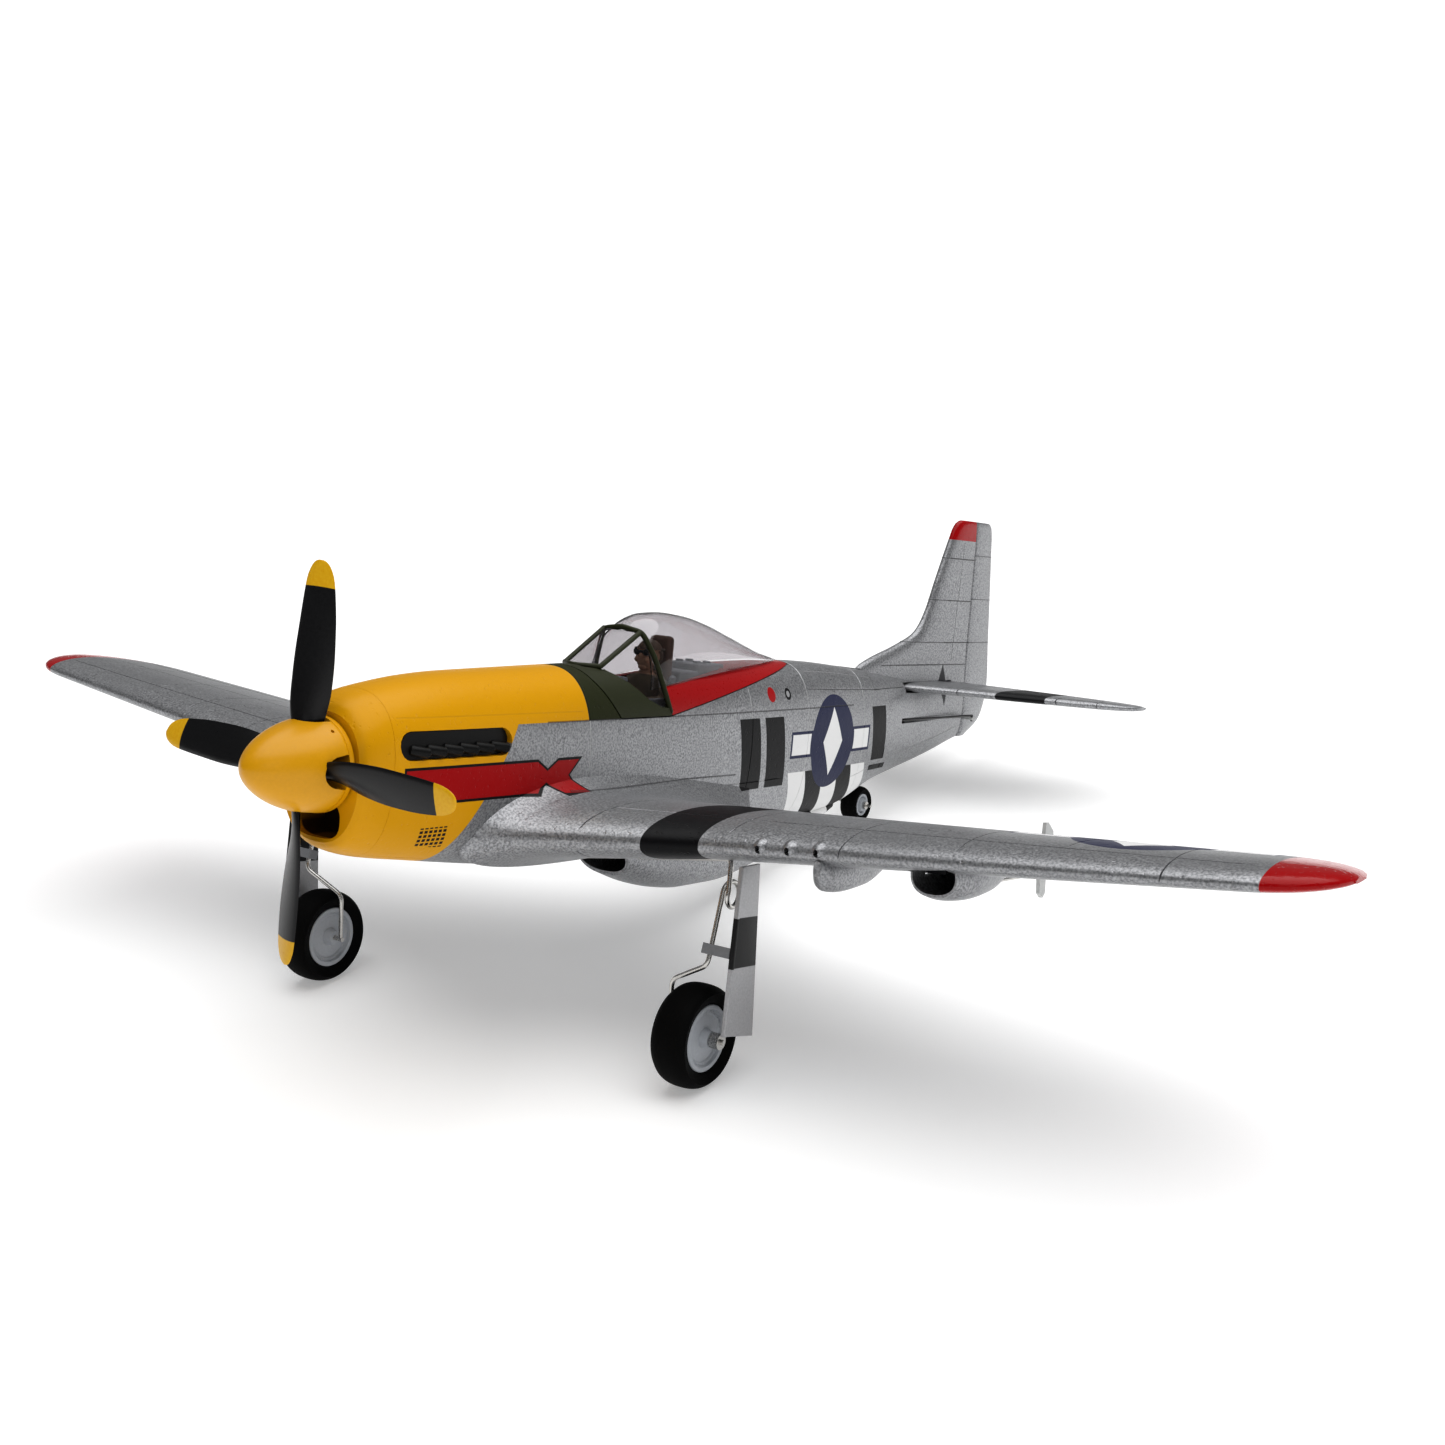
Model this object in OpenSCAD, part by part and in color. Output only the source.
// Micro foam warbird model aircraft, standing tail-down on fixed wire landing gear.
// Every part is written in one airframe frame: X to port, Y aft from the spinner tip,
// Z up from the thrust line. airframe() then sets it on its wheels, nose up. Millimetres.

/* [Airframe] */
// wing span, tip to tip
span = 492; // [400:1:600]
// nose-up angle on its wheels, degrees
pitch = 12.3; // [0:0.1:20]
// height of the spinner tip above the ground
lift = 108.1; // [80:0.1:140]
// points around each ring of the hollow inside
inner_pts = 20; // [12:2:40]
// points around each outer fuselage ring
outer_pts = 32; // [16:4:64]

/* [Wing] */
// leading edge of the wing at the centre line
le_root = 96.4; // [80:0.1:120]
// trailing edge of the wing at the centre line
te_root = 209.6; // [180:0.1:230]
// leading edge sweep, aft per outward millimetre
le_sweep = 0.057; // [0:0.001:0.2]
// trailing edge taper, forward per outward millimetre
te_taper = 0.187; // [0:0.001:0.4]
// outboard end of the leading edge extension
kink_x = 74; // [50:1:100]
// forward growth of that extension per inward millimetre
kink_grow = 0.3; // [0:0.01:1]
// height of the wing reference at the centre line
wing_z = -25.3; // [-30:0.1:0]
// dihedral, degrees
dihedral = 6; // [0:0.1:10]
// washed-in angle at the root, degrees
inc_root = 2.5; // [-2:0.1:5]
// angle at the tip, degrees
inc_tip = -0.3; // [-3:0.1:3]
// section thickness at the root, part of the chord
t_root = 0.146; // [0.08:0.001:0.2]
// section thickness at the tip
t_tip = 0.115; // [0.06:0.001:0.2]
// spanwise station where the panels butt on the fuselage fillets
rib_x = 24; // [20:0.5:30]

/* [Controls] */
// inboard end of each aileron
ail_in = 122; // [100:1:150]
// outboard end of each aileron
ail_out = 226; // [180:1:235]
// hinge position, part of the local chord
ail_hinge = 0.76; // [0.6:0.01:0.9]
// spanwise station of aileron servo and horn
servo_x = 150; // [130:1:180]
// working length of every servo arm and control horn
arm = 8; // [6:0.5:12]
// hinge line of the rudder
rudder_y = 408; // [400:0.5:415]
// hinge line of the elevator
elev_y = 391.5; // [385:0.5:400]
// height of the tailplane centre plane
stab_z = 15.5; // [10:0.5:20]
// radius of the push rod wire
rod_r = 0.5; // [0.3:0.05:1]
// running clearance of a wire or shaft in its hole, on the radius
run = 0.06; // [0.02:0.01:0.1]
// seam between the nose ring and the shells
nose_y = 38; // [35:0.5:42]

/* [Power] */
// propeller radius
prop_r = 54.5; // [40:0.5:70]
// station of the propeller disc
prop_y = 20.8; // [15:0.1:25]
// rest angle of the first blade from straight up, degrees
prop_turn = 2.4; // [-45:0.1:45]
// spinner radius
spinner_r = 13.2; // [10:0.1:18]
// station of the open end of the spinner
spinner_y = 24.9; // [20:0.1:30]
// motor shaft radius
shaft_r = 1; // [0.5:0.1:2]

/* [Gear] */
// spanwise station of a main wheel
wheel_x = 75; // [60:0.5:90]
// station of the main axle
wheel_y = 106.5; // [95:0.5:120]
// main wheel radius
wheel_r = 15.1; // [10:0.1:20]
// main wheel width
wheel_w = 12; // [8:0.5:16]
// gear wire radius
wire_r = 0.75; // [0.5:0.05:1.5]
// spanwise station of the inner leg beside the wheel
leg_x = 66.4; // [60:0.1:70]
// plane of the gear door
door_x = 87.4; // [84:0.1:92]
// station of the tail wheel axle
tail_y = 325.2; // [315:0.1:335]
// tail wheel radius
tail_r = 7.4; // [5:0.1:10]
// tail wheel width
tail_w = 7.4; // [5:0.1:10]
// steering post station
post_y = 312; // [305:0.5:320]
// tail wire radius
tail_wire = 0.6; // [0.4:0.05:1]

/* [Hidden] */
half = span / 2;
// wheel centres found from the ground plane, so that all three tyres touch it
main_z = (wheel_r - lift + wheel_y * sin(pitch)) / cos(pitch);
tail_z = (tail_r - lift + tail_y * sin(pitch)) / cos(pitch);
// upper aft corner of the rudder, the rearmost point of the aircraft
top_y = 425;
top_z = 84;
// shifts the assembly so that its box is centred over the origin
shift_y = -(top_y * cos(pitch) + top_z * sin(pitch)) / 2;

YELLOW = [0.93, 0.66, 0.05];
SILVER = [0.62, 0.63, 0.65];
RED = [0.72, 0.05, 0.06];
OLIVE = [0.16, 0.2, 0.11];
BLACK = [0.07, 0.07, 0.08];
GREY = [0.45, 0.46, 0.49];
STEEL = [0.72, 0.72, 0.7];
CLEAR = [0.8, 0.86, 0.9, 0.35];
BRASS = [0.75, 0.6, 0.3];

// fuselage stations: y, half width, top z, bottom z
BODY = [
    [27.2, 14.3, 14.4, -21.2], [28.6, 15.4, 16.4, -22.8], [31.5, 16.1, 18.2, -24.2],
    [37, 16.7, 20.1, -25.8], [45, 17.1, 21.6, -27.2], [58, 17.6, 23.4, -29],
    [71, 17.9, 24.4, -30.8], [88, 18.3, 25, -33], [104, 18.6, 25.5, -34.6],
    [125, 18.8, 26.1, -35.2], [150, 18.8, 26.7, -35.4], [180, 18.7, 26.9, -35.4],
    [210, 18.2, 26.9, -35.2], [235, 17.4, 26.8, -34.8], [255, 16.7, 26.8, -34],
    [271, 15.7, 26.3, -33.2], [290, 14.2, 25, -31.6], [303, 13.1, 23.8, -29.4],
    [314, 12.1, 22.8, -26.2], [325, 11, 21.6, -23], [345, 9.1, 19.8, -19.4],
    [365, 7.2, 18.4, -16.2], [385, 5.3, 17.6, -12.6], [400, 4, 17.4, -9.4],
    [407.4, 3.2, 17.3, -8]
];
// stations of the hollow: y, half width, top z, bottom z
HOLLOW = [
    [50.4, 14, 18.6, -22.4], [58, 14.4, 20.2, -24.6], [71, 14.8, 21.3, -26.4], [88, 15.2, 22, -28.6],
    [125, 15.8, 23.1, -31.6], [150, 15.8, 23.7, -31.8], [180, 15.7, 23.9, -31.8],
    [210, 15.2, 23.9, -31.6], [235, 14.4, 23.8, -31.2], [255, 13.6, 23.5, -30.4],
    [271, 12.6, 22.8, -29.4], [290, 11.1, 21.2, -27.4], [300, 10.2, 20, -24],
    [325, 8.2, 15, -10], [345, 6.4, 12, -6], [352, 5.8, 11.4, -5]
];
// side outline of the lift-off hatch: y, z
HATCH = [[120, 60], [126.2, 27.5], [128.6, 22.6], [137, 11], [163.5, 11], [252.5, 26.1], [256, 60]];
// fin stations: z, leading edge y, thickness
FIN = [
    [15.8, 313, 7], [23, 314.5, 6.4], [27.5, 326, 5.8], [31.5, 342, 5.4], [38, 361.5, 5.2], [46, 369, 5],
    [60, 376, 4.6], [78, 385.4, 4.1], [83.5, 388.6, 3.7], [86.6, 393.4, 3]
];
// rudder stations: z, trailing edge y, half thickness
RUDDER = [
    [-7.6, 417, 1.6], [-5.6, 421, 2.4], [-3.4, 426, 2.8], [0.6, 431.5, 2.9], [8, 435, 2.7], [14, 436, 2.4],
    [34, 433, 2.1], [53, 430.2, 1.9], [72, 427.2, 1.7], [top_z, top_y, 1.5], [86.4, 422, 1.2]
];

// ------------------------------------------------------------------ helpers
function lerp(a, b, t) = a + (b - a) * t;
function sgn(v) = v < 0 ? -1 : 1;
// row of a table at value v of its first column
function pick(t, v, i = 0) = (v <= t[i + 1][0] || i >= len(t) - 2) ?
    let (k = (v - t[i][0]) / (t[i + 1][0] - t[i][0]))
        [for (j = [0:len(t[i]) - 1]) lerp(t[i][j], t[i + 1][j], k)] :
    pick(t, v, i + 1);
// rounded ring across the fuselage; the widest line sits a little above mid height
function ring(s, n, grow = 0) = let (zc = lerp(s[2], s[3], 0.46)) [for (i = [0:n - 1])
    let (a = 360 * (i + 0.5) / n, c = cos(a), d = sin(a), h = d > 0 ? s[2] - zc : zc - s[3],
        p = d > 0 ? 0.82 : 0.84)
    [(s[1] + grow) * sgn(c) * pow(abs(c), p), s[0], zc + (h + grow) * sgn(d) * pow(abs(d), p)]];
function rings(t, n, grow = 0) = [for (s = t) ring(s, n, grow)];

// solid through a row of convex rings, piece by piece
module chain(r) {
    n = len(r[0]);
    for (i = [0:len(r) - 2]) hull() polyhedron(points = concat(r[i], r[i + 1]),
        faces = [[for (j = [0:n - 1]) j], [for (j = [0:n - 1]) n + j]]);
}
// prism between two x planes from a side outline of y, z points
module side(pts, x0, x1) {
    translate([x0, 0, 0]) rotate([90, 0, 90]) linear_extrude(x1 - x0) polygon(pts);
}
// round bar between two points
module bar(a, b, r, n = 24) {
    d = b - a;
    l = norm(d);
    translate(a) rotate([0, acos(d[2] / l), atan2(d[1], d[0])]) cylinder(r = r, h = l, $fn = n);
}
// path with its inner corners rounded, starting each bend d before the corner
function bent(p, d) = [for (i = [0:len(p) - 1]) each (i == 0 || i == len(p) - 1) ? [p[i]] :
    let (a = p[i] + d * unit(p[i - 1] - p[i]), b = p[i] + d * unit(p[i + 1] - p[i]))
        [for (t = [0:0.25:1]) (1 - t) * (1 - t) * a + 2 * t * (1 - t) * p[i] + t * t * b]];
function heading(p, i) = unit(p[min(i + 1, len(p) - 1)] - p[max(i - 1, 0)]);
// normals carried along a path without twist
function normals(p, i, n0) = i == len(p) ? [] :
    let (h = heading(p, i), n1 = unit(n0 - h * (n0 * h))) concat([n1], normals(p, i + 1, n1));
// round wire swept along a path
module wire(p, r, n0, sides = 10) {
    ns = normals(p, 0, n0);
    m = len(p);
    polyhedron(points = [for (i = [0:m - 1], k = [0:sides - 1])
            p[i] + r * (cos(360 * k / sides) * ns[i] + sin(360 * k / sides) * cross(heading(p, i), ns[i]))],
        faces = concat([[for (k = [0:sides - 1]) k]], [[for (k = [sides - 1:-1:0]) (m - 1) * sides + k]],
            [for (i = [0:m - 2], k = [0:sides - 1]) let (a = i * sides, b = (k + 1) % sides)
                [a + k, a + sides + k, a + sides + b, a + b]]));
}
// cylinder lying along y
module ycyl(y, r, h, n = 64) { translate([0, y, 0]) rotate([-90, 0, 0]) cylinder(r = r, h = h, $fn = n); }
// cylinder lying along x
module xcyl(p, r, h, n = 48) { translate(p) rotate([0, 90, 0]) cylinder(r = r, h = h, $fn = n); }
module box(a, b) { translate(a) cube(b - a); }
// stands the airframe frame on the ground
module airframe() { translate([0, shift_y, lift]) rotate([-pitch, 0, 0]) children(); }
module right() { mirror([1, 0, 0]) children(); }

// ------------------------------------------------------------------ wing maths
function w_le(x) = le_root + le_sweep * x - (x < kink_x ? (kink_x - x) * kink_grow : 0);
function w_te(x) = te_root - te_taper * x;
function w_z(x) = wing_z + x * tan(dihedral);
function w_t(x) = lerp(t_root, t_tip, x / half);
function w_inc(x) = lerp(inc_root, inc_tip, x / half);
// half thickness and camber of the section at part s of the chord
function f_t(s, t) = 5 * t *
    (0.2969 * sqrt(s) - 0.126 * s - 0.3516 * s * s + 0.2843 * pow(s, 3) - 0.1036 * pow(s, 4));
function f_c(s) = s < 0.4 ? 0.125 * (0.8 * s - s * s) : 0.0556 * (0.2 + 0.8 * s - s * s);
function tip_k(x) = x < half - 24 ? 1 : sqrt(1 - pow(min(0.985, (x - half + 24) / 24), 2.6));
// point of the wing skin: station x, part s of the chord, side u = 1 top or -1 bottom
function skin(x, s, u) = let (l0 = w_le(x), c0 = w_te(x) - l0, k = tip_k(x), c = c0 * k,
    l = l0 + c0 * 0.45 * (1 - k), y = l + c * s, h = c * (f_c(s) + u * (f_t(s, w_t(x)) + 0.003)))
    [x, y, w_z(x) + h - (y - l0 - c0 * 0.3) * tan(w_inc(x))];
S_TOP = [for (i = [0:12]) (1 - cos(15 * i)) / 2];
function w_ring(x) = concat([for (s = S_TOP) skin(x, s, 1)], [for (i = [12:-1:0]) skin(x, S_TOP[i], -1)]);
// skin height under or over a plan point
function w_at(x, y, u) = skin(x, (y - w_le(x)) / (w_te(x) - w_le(x)), u)[2];
// hinge line of the aileron, mid thickness
function ail_p(x) = let (s = ail_hinge, a = skin(x, s, 1), b = skin(x, s, -1)) (a + b) / 2;
A0 = ail_p(ail_in);
A1 = ail_p(ail_out);
function unit(v) = v / norm(v);
EX = unit(A1 - A0);
EZ = unit(cross(EX, [0, 1, 0]));
EY = cross(EZ, EX);
AH = A0 + EX * ((servo_x - ail_in) / EX[0]);
rod_len = 40;
// local frame on the aileron hinge at the horn: x along the hinge, y aft, z up
module hinge_frame() {
    rows = [for (i = [0:2]) [EX[i], EY[i], EZ[i], AH[i]]];
    multmatrix(concat(rows, [[0, 0, 0, 1]])) children();
}
W_X = [rib_x, 40, 58, kink_x, 96, 122, 160, 200, 222, 232, 239, 243.5, half];

// ------------------------------------------------------------------ fuselage
module fillet() {
    // swollen sections that carry the wing root into the fuselage side
    z0 = w_z(rib_x);
    chain([for (k = [[8, 9, 1.8], [14, 6.5, 1.5], [18, 4, 1.25], [21.5, 1.6, 1.1], [rib_x, 0, 1]])
        [for (p = w_ring(rib_x)) [k[0], p[1] + (p[1] < 140 ? -k[1] * 0.5 : k[1]),
            z0 - (rib_x - k[0]) * 0.1 + (p[2] - z0) * (p[2] > z0 ? k[2] : 1)]]]);
}
module hatch_prism(c) {
    // the lift-off hatch outline, opened by clearance c
    pts = [for (p = HATCH) [p[0] + (p[0] < 137.5 ? -c : (p[0] > 200 ? c : 0)), p[1] - (p[1] < 59 ? c : 0)]];
    side(pts, -30, 30);
}
module tray_plan(z0, z1) {
    // half widths of the equipment tray along the fuselage
    tray = [[14.4, 52.4], [15.6, 100], [15.6, 180], [15, 220], [13.4, 258]];
    n = len(tray) - 1;
    translate([0, 0, z0]) linear_extrude(z1 - z0)
        polygon(concat([for (p = tray) [-p[0], p[1]]], [for (i = [n:-1:0]) tray[i]]));
}
// tailplane slot and the channel of the elevator torque bar
module tail_slots() {
    box([-30, 345, stab_z - 2.1], [30, 389.6, stab_z + 2.1]);
    box([-30, 389.5, stab_z - 2.3], [30, elev_y + 2.4, stab_z + 2.3]);
}
module rudder_rod_slot() { box([6, 270, 1.3], [9.6, 409, 3.4]); }
module elevator_rod_slot() { box([-8.9, 280, stab_z - arm - 1.2], [-6.4, 409, stab_z - arm + 1.8]); }
module exhaust_slot() { box([15.3, 40.4, 1.6], [30, 86.2, 10.4]); }
module half_shell(s) {
    difference() {
        union() {
            chain(rings(BODY, outer_pts));
            fillet();
            right() fillet();
        }
        chain(rings(HOLLOW, inner_pts));
        hatch_prism(0.35);
        // the nose ring and the tail end
        box([-40, 0, -60], [40, nose_y, 60]);
        box([-20, rudder_y - 0.7, -30], [20, 440, 60]);
        // motor bay
        ycyl(nose_y - 1, 12.4, 14, 36);
        exhaust_slot();
        right() exhaust_slot();
        // square bed of the wing spar
        box([-40, 144, wing_z - 2], [40, 148, wing_z + 2]);
        // notch for the fin block
        box([-20, 313.7, 15.8], [20, 420, 60]);
        // belly opening over the scoop duct
        box([-7.5, 182, -40], [7.5, 204, -28]);
        // steering post of the tail wheel and the pocket of its bushing
        translate([0, post_y, -40]) cylinder(r = tail_wire + 0.5, h = 40, $fn = 16);
        translate([0, post_y, -24.7]) cylinder(r = 2.3, h = 14, $fn = 32);
        tail_slots();
        rudder_rod_slot();
        elevator_rod_slot();
        tray_plan(-15.5, -14);
        // the other half
        box([s > 0 ? -80 : 0, -10, -80], [s > 0 ? 0 : 80, 460, 80]);
    }
}
module fuselage_left() { color(SILVER) airframe() half_shell(1); }
module fuselage_right() { color(SILVER) airframe() half_shell(-1); }
module nose_cowl() {
    color(YELLOW) airframe() difference() {
        chain([for (y = [27.2, 27.9, 28.6, 30, 31.5, 34.2, 37, nose_y]) ring(pick(BODY, y), outer_pts)]);
        ycyl(20, 12.4, 20, 40);
        // chin intake
        hull() {
            box([-8.4, 20, -19.4], [8.4, 44, -10]);
            box([-6.4, 20, -20.2], [6.4, 44, -10]);
        }
    }
}
module exhaust_insert() {
    box([15.3, 40.6, 1.8], [15.9, 86, 10.2]);
    for (i = [0:5]) hull() {
        box([15.9, 43.2 + i * 7.1, 2.6], [16, 47.4 + i * 7.1, 7.4]);
        box([18.6, 47 + i * 7.1, 2.4], [18.7, 49.2 + i * 7.1, 6]);
    }
}
module exhaust_left() { color(BLACK) airframe() exhaust_insert(); }
module exhaust_right() { color(BLACK) airframe() right() exhaust_insert(); }

SCOOP = [[152, 10.4, -30, -41.4], [160, 11.2, -30, -44.4], [170, 11.8, -30, -47.8], [182, 12, -30, -50.4],
         [195, 12, -30, -51.8], [215, 11.6, -30, -51.9], [238, 10.8, -30, -48.6], [260, 9.6, -30, -43],
         [280, 8, -29, -37.2], [296, 6, -27, -32]];
DUCT = [[146, 9, -33, -39.9], [160, 9.8, -33, -43], [175, 9.6, -31, -46], [190, 8.4, -30, -45],
        [204, 7, -30, -38]];
module belly_scoop() {
    color(SILVER) airframe() difference() {
        chain(rings(SCOOP, 24));
        chain(rings(BODY, outer_pts));
        chain(rings(DUCT, 16));
        // raked inlet face
        side([[140, -28], [153, -28], [164, -60], [140, -60]], -20, 20);
    }
}

// ------------------------------------------------------------------ wing
// aileron servo fairing and its hollow, along the hinge frame: y, half width, top z, bottom z
POD = [
    [-54, 7.4, 1, -9.8], [-50, 8.3, 1, -11], [-44, 8.6, 1, -11.4], [-34, 7.4, 1, -10.6],
    [-26, 5, 0.6, -8.8], [-19, 2.6, 0, -6], [-16, 1.2, -0.6, -4.4]
];
POD_IN = [
    [-57, 6.4, 0, -8.4], [-50, 7.2, 0, -9.8], [-44, 7.4, 0, -10.2], [-34, 6.2, 0, -9.4],
    [-29, 4.4, 0, -7.8]
];
// rack fairing under the panel: y, half width, top z, bottom z
RACK = [[103, 1.2, 3, -1.5], [107, 3, 3, -5.6], [116, 3.6, 3, -6.6], [128, 3.2, 3, -6], [138, 2, 3, -3.4],
        [144, 0.8, 3, -0.6]];
// everything ahead of the bevelled hinge line of the aileron
module ahead(gap) {
    hinge_frame() translate([-100, 0, 0]) rotate([90, 0, 90]) linear_extrude(220)
        polygon([[-90, -30], [-90, 30], [17.3 - gap, 30], [-gap, 0], [17.3 - gap, -30]]);
}
module wing_body() { chain([for (x = W_X) w_ring(x)]); }
module wing_panel() {
    difference() {
        union() {
            wing_body();
            // aileron servo fairing, open at the front
            hinge_frame() chain(rings(POD, 16));
            // rack fairing under the panel
            translate([112, 0, w_at(112, 122, -1)]) chain(rings(RACK, 12));
            // three gun port bosses
            for (x = [93.8, 102.9, 111.7]) let (p = skin(x, 0, 1)) hull() {
                translate(p + [0, 0.4, 0]) sphere(1.7, $fn = 12);
                translate(p + [0, 5, 0.3]) sphere(2, $fn = 12);
            }
        }
        // aileron bay
        difference() {
            translate([ail_in, 130, -60]) cube([ail_out - ail_in, 90, 120]);
            hinge_frame() translate([-60, -90.5, -40]) cube([160, 90, 80]);
        }
        // servo pocket, fairing hollow and the rear exit of the push rod
        hinge_frame() {
            box([-8.7, -rod_len - 7.2, -20], [2.4, -rod_len + 10.2, 3.9]);
            chain(rings(POD_IN, 12));
            box([0.3, -34, -30], [2.5, 0, -5.6]);
        }
        // spar bed
        box([20, 144, w_z(0) - 2], [40, 148, w_z(0) + 2]);
        // groove of the gear wire
        bar(G0, G1 + [0.6, 0, 0], wire_r + 0.15);
        bar(G1, G2, wire_r + 0.15);
    }
}
G_Y = 110;
G0 = [48, G_Y, w_at(48, G_Y, -1) + 0.5];
G1 = [80, G_Y, w_at(80, G_Y, -1) + 0.5];
module wing_left() { color(SILVER) airframe() wing_panel(); }
module wing_right() { color(SILVER) airframe() right() wing_panel(); }
module wing_spar() {
    // flat carbon strip laid through both shells into the panels
    color(BLACK) airframe() box([-39.8, 144.2, wing_z - 1.9], [39.8, 147.8, wing_z + 1.9]);
}
module aileron_body() {
    difference() {
        wing_body();
        ahead(0);
        box([0, 60, -80], [ail_in + 0.4, 300, 80]);
        box([ail_out - 0.4, 60, -80], [300, 300, 80]);
        hinge_frame() box([-0.6, 1.2, -20], [0.6, 6.1, 20]);
    }
}
module aileron_left() { color(SILVER) airframe() aileron_body(); }
module aileron_right() { color(SILVER) airframe() right() aileron_body(); }
// horn plate outline, y and z from the hinge axis
HORN = [[1.4, 2.6], [1.4, -3.4], [-1.4, -6.4], [-1.5, -14], [0, -15.4], [1.5, -14], [2, -8.4], [6, -3.4],
        [6, 3.4], [3.4, 6], [2.2, 6]];
module horn_plate(pts) {
    difference() {
        side(pts, -0.6, 0.6);
        xcyl([-1, 0, -arm], rod_r + run, 2, 24);
    }
}
module aileron_horn_left() { color(CLEAR) airframe() hinge_frame() horn_plate(HORN); }
module aileron_horn_right() { color(CLEAR) airframe() right() hinge_frame() horn_plate(HORN); }

// servo with its output axis along x at the origin; the case lies on the -x side
module servo_case(l0, l1, z0, z1) {
    difference() {
        union() {
            box([-8.4, l0, z0], [-1.5, l1, z1]);
            xcyl([-1.6, 0, 0], 2.4, 0.3, 32);
        }
        xcyl([-4.6, 0, 0], 1.4 + run, 4, 32);
    }
}
module servo_arm() {
    difference() {
        union() {
            hull() {
                xcyl([-0.6, 0, 0], 2.3, 1.2, 32);
                xcyl([-0.6, 0, -arm], 1.4, 1.2, 32);
            }
            xcyl([-4.4, 0, 0], 1.4, 4.4, 32);
        }
        xcyl([-1, 0, -arm], rod_r + run, 2, 24);
    }
}
// rod beside the arms, its two end pins pass through both holes
module push_rod(len, off) {
    s = off > 0 ? 1 : -1;
    a = off;
    b = -s * 1.1;
    bar([a, 0, -arm], [a, len, -arm], rod_r);
    ball([a, 0, -arm], rod_r);
    ball([a, len, -arm], rod_r);
    bar([min(a, b), 0, -arm], [max(a, b), 0, -arm], rod_r);
    bar([min(a, b), len, -arm], [max(a, b), len, -arm], rod_r);
}
module at_servo() { hinge_frame() translate([0, -rod_len, 0]) children(); }
module aileron_servo_left() { color(GREY) airframe() at_servo() servo_case(-6, 10, -4.6, 3.8); }
module aileron_servo_right() { color(GREY) airframe() right() at_servo() servo_case(-6, 10, -4.6, 3.8); }
module aileron_arm_left() { color(STEEL) airframe() at_servo() servo_arm(); }
module aileron_arm_right() { color(STEEL) airframe() right() at_servo() servo_arm(); }
module aileron_rod_left() { color(STEEL) airframe() at_servo() push_rod(rod_len, 1.4); }
module aileron_rod_right() { color(STEEL) airframe() right() at_servo() push_rod(rod_len, 1.4); }

// ------------------------------------------------------------------ tail
// fin section: part of the chord, part of the half thickness
F_SEC = [[0, 0.12], [0.06, 0.6], [0.25, 1], [0.6, 1], [1, 0.8], [1, -0.8], [0.6, -1], [0.25, -1],
         [0.06, -0.6], [0, -0.12]];
module fin() {
    color(SILVER) airframe() difference() {
        union() {
            intersection() {
                chain([for (y = [314, 325, 345, 365, 385, 400, 407.3]) ring(pick(BODY, y), outer_pts)]);
                box([-20, 314, 16], [20, 408, 60]);
            }
            chain([for (f = FIN)
                [for (k = F_SEC) [k[1] * f[2] / 2, lerp(f[1], rudder_y - 0.7, k[0]), f[0]]]]);
        }
        tail_slots();
        rudder_rod_slot();
        elevator_rod_slot();
        box([-20, 300, 0], [20, 344.4, 16]);
        box([-20, 344, 0], [20, 410, 15]);
    }
}
// rudder section at height z, c long and 2h thick
function rudder_ring(z, te, h) = let (c = te - rudder_y)
    [for (k = [[0, 0], [h * 0.6, h], [0.65 * c, h * 0.6], [c, 0.4], [c, -0.4], [0.65 * c, -h * 0.6],
        [h * 0.6, -h]]) [k[1], rudder_y + k[0], z]];
module rudder() {
    color(SILVER) airframe() difference() {
        chain([for (k = RUDDER) rudder_ring(k[0], k[1], k[2])]);
        box([1.4, 409.6, 0.4], [3.4, 414, 1.6]);
    }
}
module rudder_horn() {
    color(CLEAR) airframe() translate([0, rudder_y, 0.4]) difference() {
        linear_extrude(1.2) polygon([[1.4, 2], [2.8, 2], [7.2, -1.4], [arm + 0.7, -1.4], [arm + 1.5, 0],
            [arm + 0.7, 1.5], [3.4, 6], [1.4, 6]]);
        translate([arm, 0, -1]) cylinder(r = rod_r + run, h = 4, $fn = 24);
    }
}
function s_le(x) = 345.4 + 0.5 * x;
function s_te(x) = 414 - 0.075 * x;
// tailplane stations: x, nose set-back, tail set-back, thickness
TAIL_X = [[0, 0, 0, 4.1], [30, 0, 0, 4], [60, 0, 0, 3.6], [75, 0, 0, 3.2], [83, 1.4, 0.2, 2.6],
          [86.6, 4.4, 1.2, 2], [87.8, 7, 2.6, 1.4]];
// tailplane section: part of the chord, part of the half thickness
S_SEC = [[0, 0.15], [0.03, 0.6], [0.12, 0.9], [0.35, 1], [0.68, 0.94], [1, 0.18], [1, -0.18],
         [0.68, -0.94], [0.35, -1], [0.12, -0.9], [0.03, -0.6], [0, -0.15]];
function s_ring(k) = let (l = s_le(k[0]) + k[1], c = s_te(k[0]) - k[2] - l, h = k[3] / 2)
    [for (p = S_SEC) [k[0], l + c * p[0], stab_z + h * p[1]]];
module tailplane() {
    chain([for (k = TAIL_X) s_ring(k)]);
    right() chain([for (k = TAIL_X) s_ring(k)]);
}
module stabilizer() {
    color(SILVER) airframe() difference() {
        tailplane();
        box([-100, elev_y - 0.5, 0], [100, 430, 30]);
        box([-8.6, 389.6, 0], [8.6, 430, 30]);
        for (s = [-1, 1]) translate([s * 84.6, 380, 15]) cube([20, 60, 30], center = true);
    }
}
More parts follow.
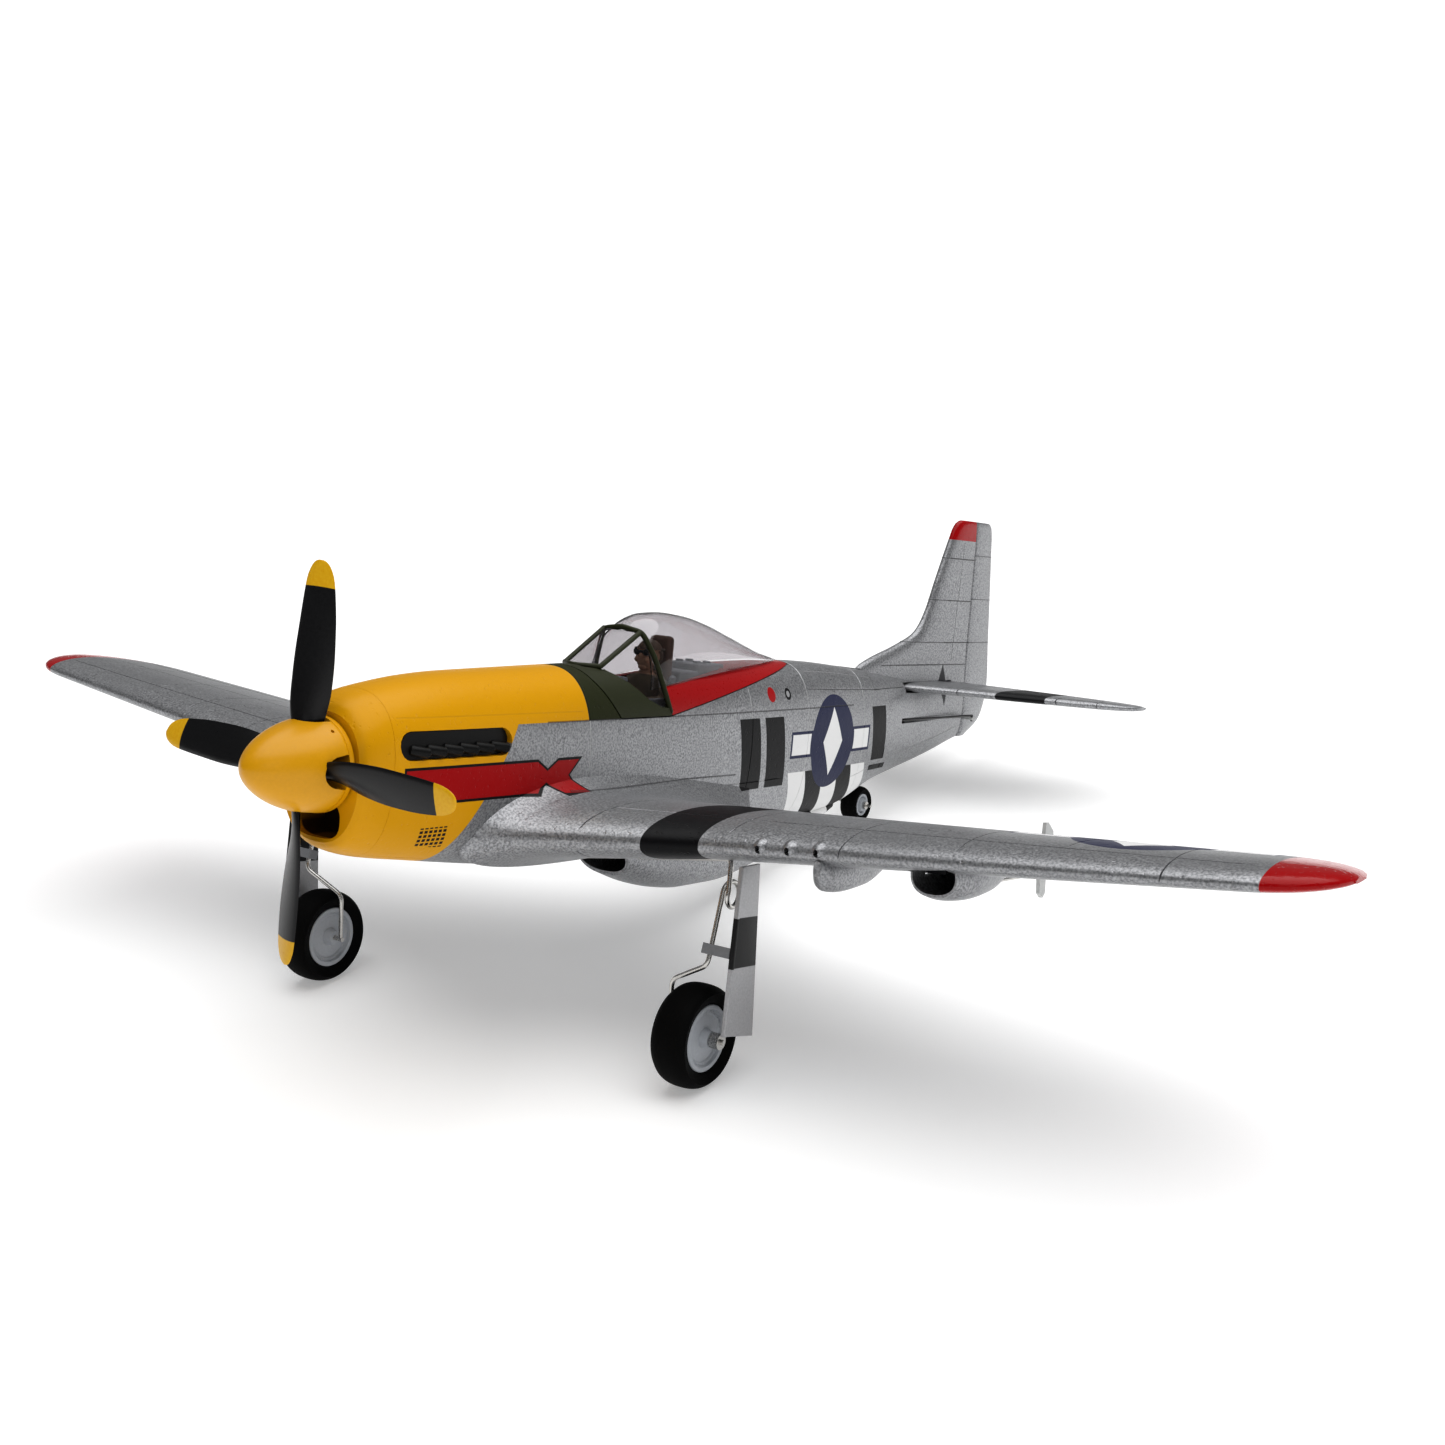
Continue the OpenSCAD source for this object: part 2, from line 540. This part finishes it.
module elevator() {
    color(SILVER) airframe() union() {
        difference() {
            tailplane();
            // bevelled front of the hinged part
            side([[330, 0], [330, 31], [elev_y + 8.9, 31], [elev_y, stab_z], [elev_y + 8.9, 0]], -74.9, 74.9);
            box([-7.6, 380, 0], [7.6, 430, 30]);
            for (s = [-1, 1]) translate([s * 9, 0, 0]) box([-0.6, elev_y + 1.3, 0], [0.6, elev_y + 6.1, 30]);
        }
        xcyl([-8, elev_y, stab_z], 1.3, 16, 24);
    }
}
module elevator_horn() {
    color(CLEAR) airframe() translate([-9, elev_y, stab_z])
        horn_plate([[1.4, 1.2], [1.4, -2.6], [-1.4, -6.4], [-1.5, -8.4], [0, -9.5], [1.5, -8.4], [6, -2.4],
            [6, 1.2]]);
}

// ------------------------------------------------------------------ equipment
E_ARM = [-9, 240, stab_z];
R_ARM = [0, 232, 1];
module equipment_frame() {
    color(GREY) airframe() {
        difference() {
            union() {
                ycyl(50.4, 13.4, 2, 48);
                box([-9, 50.4, -15.5], [9, 52.5, -8]);
                tray_plan(-15.5, -14);
                // pedestal of the elevator servo
                box([-6.4, 246, -14], [0.4, 258, 5]);
            }
            ycyl(49, 2.6, 5, 32);
        }
    }
}
module battery() {
    color(BLACK) airframe() {
        translate([0, 60, -7.5]) rotate([-90, 0, 0]) linear_extrude(46)
            polygon([for (p = [[-1, -0.8], [-0.85, -1], [0.85, -1], [1, -0.8], [1, 0.8], [0.85, 1],
                [-0.85, 1], [-1, 0.8]]) [p[0] * 8.5, p[1] * 6.5]]);
        box([2, 106, -6], [7, 111, -1.6]);
    }
}
module flight_board() {
    color(OLIVE) airframe() {
        box([-10, 114, -14], [10, 142, -12.6]);
        box([-6, 118, -12.6], [5, 130, -10]);
        for (i = [0:3]) box([-9 + i * 4.8, 134, -12.6], [-5.4 + i * 4.8, 141, -8.4]);
    }
}
module elevator_servo() {
    color(GREY) airframe() translate(E_ARM) right() difference() {
        union() {
            box([-9.4, -4.4, -10.5], [-2.5, 16.4, 5]);
            xcyl([-2.6, 0, 0], 2.4, 0.3, 32);
        }
        xcyl([-5.6, 0, 0], 1.4 + run, 5, 32);
    }
}
module elevator_arm() {
    color(STEEL) airframe() translate(E_ARM) right() {
        servo_arm();
        xcyl([-5.4, 0, 0], 1.4, 1.2, 32);
    }
}
module elevator_rod() { color(STEEL) airframe() translate(E_ARM) push_rod(elev_y - E_ARM[1], 1.4); }
// turns an x axis linkage to swing about z, with the arm to port
module upright() { multmatrix([[0, 0, -1, 0], [0, 1, 0, 0], [1, 0, 0, 0], [0, 0, 0, 1]]) children(); }
module rudder_servo() {
    color(GREY) airframe() translate(R_ARM) upright() difference() {
        union() {
            box([-15, -10, -4], [-1.5, 5, 3.4]);
            xcyl([-1.6, 0, 0], 2.4, 0.3, 32);
        }
        xcyl([-4.6, 0, 0], 1.4 + run, 4, 32);
    }
}
module rudder_arm() { color(STEEL) airframe() translate(R_ARM) upright() servo_arm(); }
module rudder_rod() { color(STEEL) airframe() translate(R_ARM) upright() push_rod(rudder_y - R_ARM[1], 1.4); }

// ------------------------------------------------------------------ motor and propeller
module motor_stator() {
    color(BRASS) airframe() difference() {
        union() {
            ycyl(36.8, 2.4, 14, 40);
            ycyl(48.2, 8, 2.2, 48);
            ycyl(38.6, 7.8, 6.6, 60);
        }
        ycyl(30, shaft_r + run, 30, 40);
        for (a = [0:40:359]) rotate([0, a, 0]) translate([0, 0, 6.3]) box([-0.8, 38, -2.4], [0.8, 46, 4]);
    }
}
module motor_bell() {
    color(STEEL) airframe() {
        difference() {
            ycyl(34.6, 10.4, 12.4, 72);
            ycyl(35.8, 8.6, 12, 72);
            for (a = [30:60:359]) rotate([0, a, 0]) translate([5.6, 0, 0]) ycyl(34, 1.7, 3, 24);
        }
        ycyl(12.4, shaft_r, 35.2, 40);
    }
}
module prop_adapter() {
    color(GREY) airframe() difference() {
        union() {
            ycyl(26.5, 4.4, 1.5, 40);
            ycyl(14.4, 1.9, 12.2, 40);
            ycyl(15.4, 3.3, 2.9, 6);
        }
        ycyl(10, shaft_r, 20, 40);
    }
}
module spinner_backplate() {
    color(YELLOW) airframe() difference() {
        union() {
            ycyl(24.9, spinner_r, 1.6, 96);
            difference() {
                ycyl(23.4, spinner_r - 1.1, 1.6, 96);
                ycyl(23, spinner_r - 1.8, 2.6, 72);
                blade_gaps(10.5, 5);
            }
        }
        ycyl(20, 1.9, 10, 40);
    }
}
function spin_r(y) = spinner_r * pow(max(0, 1 - pow(1 - min(1, y / 25.4), 1.85)), 0.62);
module blade_gaps(r0, w) {
    for (i = [0:3]) rotate([0, prop_turn + i * 90, 0]) box([-w, 16.4, r0], [w, 25, 20]);
}
module spinner() {
    n = 16;
    outer = [for (i = [0:n]) let (t = pow(i / n, 1.6) * spinner_y) [spin_r(t), t]];
    inner = [for (i = [n:-1:0]) let (t = pow(i / n, 1.6) * (spinner_y - 1.4))
        [max(0, spin_r(t) - 0.9), t + 1.4]];
    color(YELLOW) airframe() difference() {
        rotate([-90, 0, 0]) rotate_extrude($fn = 96) polygon(concat(outer, inner));
        blade_gaps(8.4, 4.6);
        rotate([0, 40, 0]) translate([0, 22.6, 0]) cylinder(r = 0.5, h = 20, $fn = 16);
    }
}
// blade stations: radius, chord, thickness, swept offset
BLADE = [[4, 5.6, 4.4, 0], [9, 7.4, 3.8, 0], [14, 9.4, 2.8, 0], [20, 10.8, 2.2, 0.2], [28, 11.2, 1.7, 0.3],
         [37, 10.6, 1.4, 0.3], [45, 9.4, 1.2, 0.1], [50, 8, 1, -0.1], [53, 5.8, 0.9, -0.3],
         [prop_r, 2.8, 0.7, -0.5]];
// blade section: part of the chord, part of the thickness
B_SEC = [[-0.5, 0.1], [-0.36, 0.8], [-0.1, 1], [0.2, 0.75], [0.5, 0.12], [0.5, -0.12], [0.2, -0.3],
         [-0.1, -0.35], [-0.36, -0.3], [-0.5, -0.1]];
// pitch of the blades, forward travel in one turn
prop_pitch = 80;
function blade_ring(b) = let (a = atan(prop_pitch / (6.2832 * max(b[0], 11)))) [for (k = B_SEC)
    let (c = k[0] * b[1] + b[3], t = -k[1] * b[2] * 0.6)
        [c * cos(a) - t * sin(a), prop_y + c * sin(a) + t * cos(a), b[0]]];
module blade() { chain([for (b = BLADE) blade_ring(b)]); }
module propeller() {
    color(BLACK) airframe() difference() {
        union() {
            ycyl(18.3, 6.6, 6.6, 40);
            for (i = [0:3]) rotate([0, prop_turn + i * 90, 0]) blade();
        }
        ycyl(10, 1.95, 20, 32);
        box([-60, 24.9, -60], [60, 40, 60]);
    }
}

// ------------------------------------------------------------------ landing gear
AX = [wheel_x, wheel_y, main_z];
// one turn of spring coil behind the leg, stepping sideways as it goes round from angle c_in to c_out
c_in = -20;
c_out = 347;
coil_r = 3.6;
function coil_p(a) = [lerp(81.8, 80, (a - c_in) / (c_out - c_in)), 110.6 - coil_r * cos(a),
    -30.4 - coil_r * sin(a)];
G2 = [80, G_Y - 0.6, G1[2] - 3];
G3 = coil_p(c_out);
G4 = [80, 102.4, -50];
G5 = [leg_x, 105.5, -57.2];
G6 = [leg_x, wheel_y, main_z];
module gear_wire() {
    wire(concat(bent([G0, G1, coil_p(c_in)], 2), [for (a = [c_in + 20:20.5:c_out]) coil_p(a)],
        bent([G3, G4, G5, G6], 2.4)), wire_r * 0.98, [0, 1, 0]);
    bar(G6 - [0.9, 0, 0], [85.2, wheel_y, main_z], wire_r);
}
module gear_wire_left() { color(STEEL) airframe() gear_wire(); }
module gear_wire_right() { color(STEEL) airframe() right() gear_wire(); }
module clamp() {
    p = G3 + (G4 - G3) * 0.78;
    difference() {
        translate(p) rotate([-15, 0, 0]) box([-1.8, -1.9, -1.5], [door_x - 80, 1.9, 1.5]);
        bar(G3, G4, wire_r);
    }
}
module gear_clamps() { color(GREY) airframe() { clamp(); right() clamp(); } }
module gear_door() {
    zt = w_at(door_x, 107, -1) - 1.2;
    side([[102.6, zt], [112.4, zt], [116.6, -71], [100.8, -68.6]], door_x, door_x + 0.9);
    side([[102.6, zt], [103.4, zt], [101.6, -68.7], [100.8, -68.6]], door_x + 0.9, door_x + 1.5);
}
module gear_door_left() { color(SILVER) airframe() gear_door(); }
module gear_door_right() { color(SILVER) airframe() right() gear_door(); }
module collar() {
    difference() {
        translate(AX) xcyl([6.4, 0, 0], 2.3, 2.9, 32);
        translate(AX) xcyl([0, 0, 0], wire_r, 12, 32);
    }
}
module wheel_collars() { color(STEEL) airframe() { collar(); right() collar(); } }
module on_axle() { translate(AX) rotate([0, 90, 0]) children(); }
module tyre(r, w, ri) {
    // round shouldered ring, turned about the axle
    crown = [for (a = [78:-12:-78])
        [ri + (r - ri) * (abs(a) > 70 ? 0.55 : pow(cos(a), 0.55)), w / 2 * sgn(a) * pow(abs(sin(a)), 0.8)]];
    rotate_extrude($fn = 96) polygon(concat([[ri, -w * 0.36], [ri, w * 0.36]], crown));
}
module hub(ri, w, bore, n) {
    // one flank of the disc, from the bore out to the rim
    flank = [[bore, 0.5], [2.4, 0.5], [3, 0.3], [ri * 0.72, 0.3], [ri * 0.8, 0.4], [ri, 0.4]];
    m = len(flank) - 1;
    difference() {
        rotate_extrude($fn = 72) polygon(concat([for (p = flank) [p[0], -w * p[1]]],
            [for (i = [m:-1:0]) [flank[i][0], w * flank[i][1]]]));
        for (i = [0:n - 1]) rotate([0, 0, i * 360 / n])
            translate([ri * 0.6, 0, -w]) cylinder(r = 0.55, h = w * 2, $fn = 16);
    }
}
module main_tyre_left() { color(BLACK) airframe() on_axle() tyre(wheel_r, wheel_w, 9.8); }
module main_tyre_right() { color(BLACK) airframe() right() on_axle() tyre(wheel_r, wheel_w, 9.8); }
module main_hub_left() { color(GREY) airframe() on_axle() hub(9.8, wheel_w, wire_r + run, 12); }
module main_hub_right() { color(GREY) airframe() right() on_axle() hub(9.8, wheel_w, wire_r + run, 12); }
TX = [0, tail_y, tail_z];
module tail_strut() {
    color(STEEL) airframe() {
        bar([0, post_y, -27.2], [0, post_y, -12], tail_wire);
        wire(bent([[0, post_y, -26.4], [0, post_y, -28.4], [-5.4, post_y + 4, -29.6],
            [-5.4, tail_y, tail_z]], 0.9), tail_wire * 0.96, [1, 0, 0]);
        bar([-6.1, tail_y, tail_z], [7, tail_y, tail_z], tail_wire);
        // washer pressed on the axle outside the hub
        translate(TX) xcyl([4.1, 0, 0], 1.6, 0.8, 24);
    }
}
module on_tail() { translate(TX) rotate([0, 90, 0]) children(); }
module tail_tyre() { color(BLACK) airframe() on_tail() tyre(tail_r, tail_w, 4.4); }
module tail_hub() { color(GREY) airframe() on_tail() hub(4.4, tail_w, tail_wire + run, 0); }
// bushing that carries the steering post
module tail_bushing() {
    color(GREY) airframe() translate([0, post_y, 0]) difference() {
        translate([0, 0, -24.6]) cylinder(r = 2.2, h = 9.6, $fn = 32);
        translate([0, 0, -40]) cylinder(r = tail_wire + run, h = 40, $fn = 32);
    }
}

// ------------------------------------------------------------------ canopy hatch
// arch between windshield and bubble, from the port sill to the crown: x, y, z
BOW = [[16.8, 164.4, 12], [15.4, 163.2, 17], [13.8, 162, 22], [11.9, 160.6, 28], [9.8, 159, 33],
       [7.4, 157.4, 36.8], [0, 157, 38.2]];
// side outlines of what is cut away above the red sill and above the olive base: y, z
SILL = [[158, 60], [158, 18.6], [166, 19.8], [180, 21.6], [200, 23.8], [220, 25.6], [238, 26.6],
        [249, 27.4], [249, 60]];
BASE = [[130.5, 60], [131.5, 25.9], [139, 25.2], [146, 21.4], [153, 16.4], [159, 13.9], [163.4, 13.4],
        [166, 60]];
module deck(y0, y1) {
    // band of the fuselage skin that belongs to the hatch
    ys = concat([y0], [for (s = BODY) if (s[0] > y0 && s[0] < y1) s[0]], [y1]);
    difference() {
        chain([for (y = ys) ring(pick(BODY, y), outer_pts)]);
        chain([for (y = concat([y0 - 1], ys, [y1 + 1])) ring(pick(BODY, y), outer_pts, -1.8)]);
    }
}
module in_hatch() { intersection() { children(); hatch_prism(0); } }
module canopy_frame() {
    color(RED) airframe() difference() {
        in_hatch() deck(164.6, 253);
        side(SILL, -30, 30);
    }
}
module frame_bars() {
    for (s = [-1, 1]) {
        for (i = [0:5]) hull() {
            for (p = [BOW[i], BOW[i + 1]])
                translate([p[0] * s, p[1], p[2]]) box([-0.7, -0.8, -0.7], [0.7, 0.8, 0.7]);
        }
        hull() {
            translate([6.8 * s, 137.6, 26]) sphere(0.8, $fn = 8);
            translate([7.2 * s, 156.4, 37]) sphere(0.8, $fn = 8);
        }
    }
    hull() {
        translate([-6.8, 137, 26.2]) sphere(0.8, $fn = 8);
        translate([6.8, 137, 26.2]) sphere(0.8, $fn = 8);
        translate([0, 132, 26]) sphere(0.8, $fn = 8);
    }
}
module frame_body() {
    difference() {
        in_hatch() deck(124, 164.4);
        side(BASE, -30, 30);
    }
    intersection() {
        frame_bars();
        box([-30, 100, 11], [30, 164.4, 60]);
    }
}
module windshield_frame() { color(OLIVE) airframe() frame_body(); }
module pane(a, b, c) { hull() for (p = [a, b, c]) translate(p) cube(0.6, center = true); }
module windshield_glass() {
    color(CLEAR) airframe() difference() {
        union() {
            hull() for (s = [-1, 1]) {
                translate([7 * s, 138.4, 26.4]) cube(0.6, center = true);
                translate([7.4 * s, 156.2, 36.4]) cube(0.6, center = true);
            }
            for (s = [-1, 1]) {
                a = [7 * s, 138.4, 26.4];
                b = [7.4 * s, 156.2, 36.4];
                pane(a, b, [10.6 * s, 159, 30]);
                pane(a, [10.6 * s, 159, 30], [12.8 * s, 161, 22]);
                pane(a, [12.8 * s, 161, 22], [12 * s, 152, 18.6]);
                pane([12 * s, 152, 18.6], [12.8 * s, 161, 22], [14.6 * s, 162.4, 15.4]);
            }
        }
        frame_body();
        bubble_outer(0.1);
    }
}
// bubble stations: y, half width, top z, height of the sill beside it
BUBBLE = [
    [158.4, 12.6, 38.4, 18.6], [162, 12.9, 41, 19.2], [168, 13, 42.8, 20], [176, 13, 43.3, 21.2],
    [188, 12.5, 42.4, 22.6], [200, 11.6, 40.2, 23.8], [212, 10.3, 37, 24.9], [224, 8.6, 33.6, 25.7],
    [236, 6.2, 30.4, 26.2], [244, 4.4, 28.8, 26.5], [249, 2.8, 27.8, 26.6]
];
function dome(s, g) = let (n = 20, m = s[2] + g - s[3]) concat(
    [for (i = [0:n - 1]) let (a = 180 * i / (n - 1), c = cos(a), d = sin(a))
        [(s[1] + g) * sgn(c) * pow(abs(c), 0.86), s[0], s[3] + m * pow(d, 0.92)]],
    [[-s[1] - g, s[0], s[3] - 6 + g], [s[1] + g, s[0], s[3] - 6 + g]]);
module bubble_outer(g) { chain([for (s = BUBBLE) dome(s, g)]); }
module canopy_bubble() {
    color(CLEAR) airframe() difference() {
        bubble_outer(0);
        chain(concat([dome(BUBBLE[0] - [2, 0, 0, 0], -0.7)], [for (i = [0:8]) dome(BUBBLE[i], -0.7)]));
        // open below, resting on the sill of the red frame
        side([[150, -10], [150, 18.9], [159, 18.9], [167, 20.2], [181, 22.1], [201, 24.1], [221, 25.9],
            [239, 26.9], [252, 27.3], [252, -10]], -30, 30);
        frame_body();
    }
}
module cockpit_tub() {
    color(GREY) airframe() {
        translate([0, 0, 8.4]) linear_extrude(1) polygon([[-10.4, 140], [-11.6, 160], [-11.6, 186],
            [-9.6, 204], [-6.6, 226], [6.6, 226], [9.6, 204], [11.6, 186], [11.6, 160], [10.4, 140]]);
        box([-7, 182, 9.4], [7, 193, 24]);
        box([-6.4, 193, 9.4], [6.4, 206, 26.4]);
        box([-4.4, 206, 9.4], [4.4, 212, 26]);
        box([-5, 148, 9.4], [5, 151, 22]);
        // brackets that hold the tub inside the frames
        for (s = [-1, 1], y = [150, 171]) translate([s * 12, y, 11.3]) cube([3, 6, 5.4], center = true);
        intersection() {
            for (s = [-1, 1], y = [150, 171]) translate([s * 15, y, 13.6]) cube([7, 6, 2.4], center = true);
            chain([for (y = [140, 150, 165, 180]) ring(pick(BODY, y), outer_pts, -2.1)]);
            hatch_prism(-0.4);
        }
    }
}
module pilot() {
    color(BRASS) airframe() translate([0, 172, 0]) {
        hull() {
            translate([-4.6, 0.6, 12]) sphere(2.6, $fn = 32);
            translate([4.6, 0.6, 12]) sphere(2.6, $fn = 32);
            translate([-5, 1.2, 20.4]) sphere(2.4, $fn = 32);
            translate([5, 1.2, 20.4]) sphere(2.4, $fn = 32);
        }
        translate([0, 0.8, 21]) cylinder(r = 2.4, h = 5, $fn = 32);
        translate([0, 1.4, 29.4]) sphere(5, $fn = 48);
        translate([0, -0.6, 28]) sphere(4, $fn = 48);
        box([-4, -2, 9.4], [4, 3, 11]);
    }
}

fuselage_left();
fuselage_right();
nose_cowl();
exhaust_left();
exhaust_right();
belly_scoop();
wing_left();
wing_right();
wing_spar();
aileron_left();
aileron_right();
aileron_horn_left();
aileron_horn_right();
aileron_servo_left();
aileron_servo_right();
aileron_arm_left();
aileron_arm_right();
aileron_rod_left();
aileron_rod_right();
fin();
rudder();
rudder_horn();
stabilizer();
elevator();
elevator_horn();
equipment_frame();
battery();
flight_board();
elevator_servo();
elevator_arm();
elevator_rod();
rudder_servo();
rudder_arm();
rudder_rod();
motor_stator();
motor_bell();
prop_adapter();
spinner_backplate();
spinner();
propeller();
gear_wire_left();
gear_wire_right();
gear_clamps();
gear_door_left();
gear_door_right();
wheel_collars();
main_tyre_left();
main_tyre_right();
main_hub_left();
main_hub_right();
tail_strut();
tail_tyre();
tail_hub();
tail_bushing();
canopy_frame();
windshield_frame();
windshield_glass();
canopy_bubble();
cockpit_tub();
pilot();
